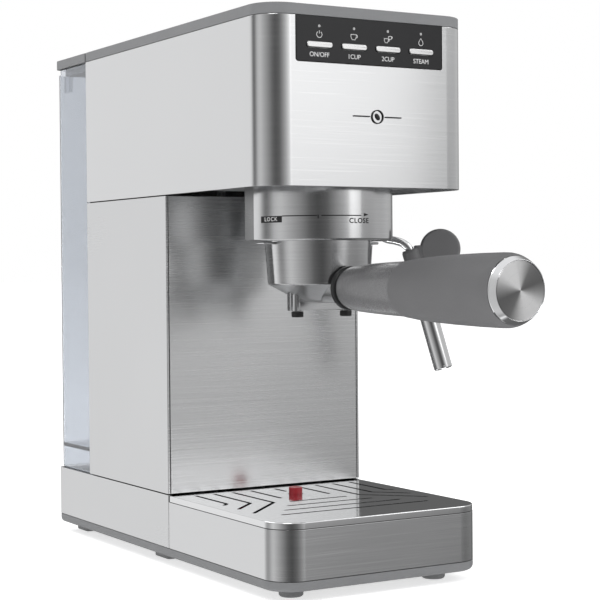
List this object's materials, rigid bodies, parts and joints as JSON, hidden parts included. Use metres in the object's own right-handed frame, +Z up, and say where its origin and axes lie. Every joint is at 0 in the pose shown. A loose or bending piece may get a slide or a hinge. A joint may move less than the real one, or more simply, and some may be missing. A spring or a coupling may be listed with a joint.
{
  "type": "espresso machine",
  "caption": "Slim pump espresso machine with a steel body, control panel, locking portafilter, steam wand, drip tray with float, and a lift-out rear water tank.",
  "frame": {"origin": "middle of the outer box, at the level the feet stand on", "axes": "+Z up, -Y towards the user (the portafilter handle points that way), +X to the user's right"},
  "size_m": [0.1684, 0.4366, 0.332],
  "materials": {
    "front_steel": "brushed",
    "side_panel": "satin",
    "grey": "satin",
    "grip": "satin",
    "black_gloss": "gloss",
    "black_matt": "matt",
    "satin": "satin",
    "mirror": "polished",
    "brass": "satin",
    "rubber": "matt",
    "red": "satin",
    "board": "satin",
    "hose": "satin",
    "clear": "gloss"
  },
  "bodies": {
    "housing": {"base_pan": "grey", "foot_front_left": "grey", "foot_front_right": "grey", "foot_middle_left": "grey", "foot_middle_right": "grey", "foot_rear_left": "grey", "foot_rear_right": "grey", "skirt_left": "side_panel", "skirt_right": "side_panel", "skirt_back": "side_panel", "cord_gland": "rubber", "tank_deck": "grey", "column_left": "side_panel", "column_right": "side_panel", "splash_panel": "front_steel", "back_wall": "grey", "head_shell": "front_steel", "head_floor": "grey", "top_cover": "grey", "cup_plate": "front_steel", "control_panel": "black_gloss", "control_board": "board", "light_guide": "clear", "badge": "black_gloss", "group_collar": "satin", "group_head": "brass", "group_gasket": "rubber", "shower_screen": "mirror", "boiler": "satin", "pump": "grey", "pump_bracket": "side_panel", "suction_hose": "hose", "pressure_hose": "hose", "steam_valve": "brass", "pipe_nut": "mirror"},
    "button_power": {"button_power": "satin"},
    "button_one_cup": {"button_one_cup": "satin"},
    "button_two_cup": {"button_two_cup": "satin"},
    "button_steam": {"button_steam": "satin"},
    "knob": {"steam_knob": "grip", "valve_spindle": "satin"},
    "wand": {"steam_pipe": "mirror", "wand_grip": "grip", "wand_sleeve": "mirror"},
    "tank": {"water_tank": "clear"},
    "tank_lid": {"tank_lid": "grey"},
    "tank_valve": {"tank_valve": "black_gloss"},
    "tray": {"tray_shell": "front_steel", "tray_pan": "black_matt"},
    "grate": {"drip_grate": "mirror"},
    "float": {"drip_float": "red"},
    "portafilter": {"filter_holder": "satin", "filter_basket": "mirror", "spout": "satin", "nozzle_left": "rubber", "nozzle_right": "rubber", "handle_neck": "grip", "handle_grip": "grip", "handle_cap": "mirror"}
  },
  "joints": [
    {"name": "portafilter_turn", "type": "hinge", "parent": "housing", "child": "portafilter", "pos_m": [-0.01425, -0.0245, 0.2008], "axis": [0, 0, 1], "range_deg": [-45, 0]},
    {"name": "tray_slide", "type": "slide", "parent": "housing", "child": "tray", "axis": [0, -1, 0], "range_m": [0, 0.14]},
    {"name": "grate_lift", "type": "slide", "parent": "tray", "child": "grate", "axis": [0, 0, 1], "range_m": [0, 0.03]},
    {"name": "float_rise", "type": "slide", "parent": "tray", "child": "float", "axis": [0, 0, 1], "range_m": [0, 0.008]},
    {"name": "steam_knob_turn", "type": "hinge", "parent": "housing", "child": "knob", "pos_m": [0.05575, -0.0087, 0.275], "axis": [1, 0, 0], "range_deg": [0, 270]},
    {"name": "wand_swing", "type": "hinge", "parent": "housing", "child": "wand", "pos_m": [0.03775, -0.0087, 0.2302], "axis": [0, 0, 1], "range_deg": [-55, 60]},
    {"name": "tank_lift", "type": "slide", "parent": "housing", "child": "tank", "axis": [0, 0, 1], "range_m": [0, 0.29]},
    {"name": "lid_open", "type": "hinge", "parent": "tank", "child": "tank_lid", "pos_m": [-0.01425, 0.2123, 0.327], "axis": [-1, 0, 0], "range_deg": [0, 95]},
    {"name": "tank_valve_lift", "type": "slide", "parent": "tank", "child": "tank_valve", "axis": [0, 0, 1], "range_m": [0, 0.004], "stiffness_N_per_m": 60, "springref_m": -0.003},
    {"name": "power_press", "type": "slide", "parent": "housing", "child": "button_power", "axis": [0, 1, 0], "range_m": [0, 0.0012], "stiffness_N_per_m": 900, "springref_m": -0.0006},
    {"name": "one_cup_press", "type": "slide", "parent": "housing", "child": "button_one_cup", "axis": [0, 1, 0], "range_m": [0, 0.0012], "stiffness_N_per_m": 900, "springref_m": -0.0006},
    {"name": "two_cup_press", "type": "slide", "parent": "housing", "child": "button_two_cup", "axis": [0, 1, 0], "range_m": [0, 0.0012], "stiffness_N_per_m": 900, "springref_m": -0.0006},
    {"name": "steam_press", "type": "slide", "parent": "housing", "child": "button_steam", "axis": [0, 1, 0], "range_m": [0, 0.0012], "stiffness_N_per_m": 900, "springref_m": -0.0006}
  ]
}
